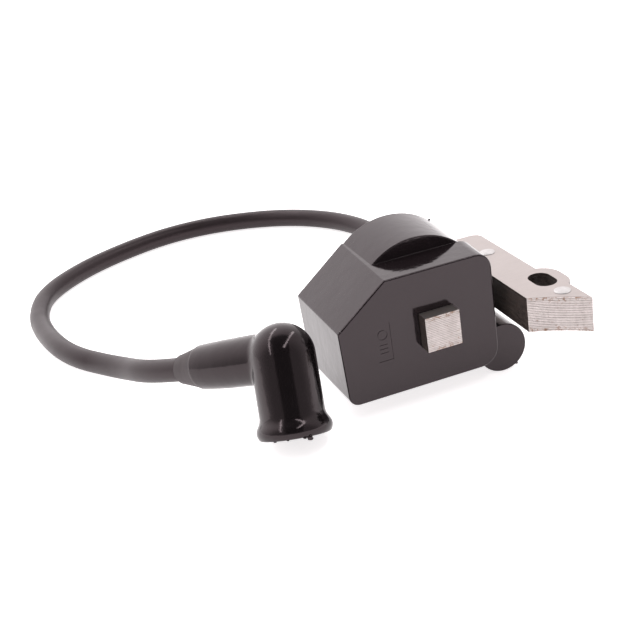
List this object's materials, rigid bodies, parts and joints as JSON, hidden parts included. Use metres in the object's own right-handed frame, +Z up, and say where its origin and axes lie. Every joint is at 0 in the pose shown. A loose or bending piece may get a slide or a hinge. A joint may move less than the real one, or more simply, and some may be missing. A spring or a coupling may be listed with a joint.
{
  "type": "ignition coil",
  "caption": "Potted flywheel ignition coil for a small engine: U-shaped laminated core, moulded housing, plug lead and elbow boot.",
  "frame": {"origin": "under the middle of the rigid module (housing and core, without the lead and boot), on the surface that its outlet boss, lead and boot lie on", "axes": "+X across the pole pieces towards the outer leg; +Y back from the flywheel, so the pole faces look along -Y; +Z up, the direction the laminations are stacked in"},
  "size_m": [0.1418, 0.2066, 0.045],
  "materials": {
    "housing_black": "semi-gloss moulded black",
    "resin": "cast black epoxy, slightly rippled",
    "core_steel": "bare and varnished electrical steel",
    "rivet_steel": "bright",
    "bobbin_nylon": "natural nylon",
    "copper": "enamelled copper wire",
    "fine_copper": "fine enamelled copper wire",
    "film": "polyester film",
    "board": "glass epoxy laminate",
    "chip_black": "moulded epoxy",
    "resistor_body": "coated body",
    "capacitor_body": "dipped ceramic",
    "diode_glass": "moulded body",
    "tinned_brass": "tin plated",
    "brass": "bright",
    "grommet_rubber": "matt",
    "lead_rubber": "satin",
    "boot_rubber": "gloss",
    "spring_steel": "zinc plated"
  },
  "bodies": {
    "root": {"housing": "housing_black", "potting_resin": "resin", "core_stack": "core_steel", "core_top_lamination": "core_steel", "core_bottom_lamination": "core_steel", "core_rivets": "rivet_steel", "primary_bobbin": "bobbin_nylon", "primary_winding": "copper", "interlayer_film": "film", "secondary_bobbin": "bobbin_nylon", "secondary_winding": "fine_copper", "circuit_board": "board", "switch_transistor": "chip_black", "control_chip": "chip_black", "resistors": "resistor_body", "timing_capacitor": "capacitor_body", "diode": "diode_glass", "stop_terminal": "tinned_brass", "earth_strip": "tinned_brass", "ht_contact": "brass", "ht_wire": "copper", "lead_grommet": "grommet_rubber", "ht_lead": "lead_rubber", "plug_boot": "boot_rubber", "plug_clip": "spring_steel"}
  },
  "joints": []
}
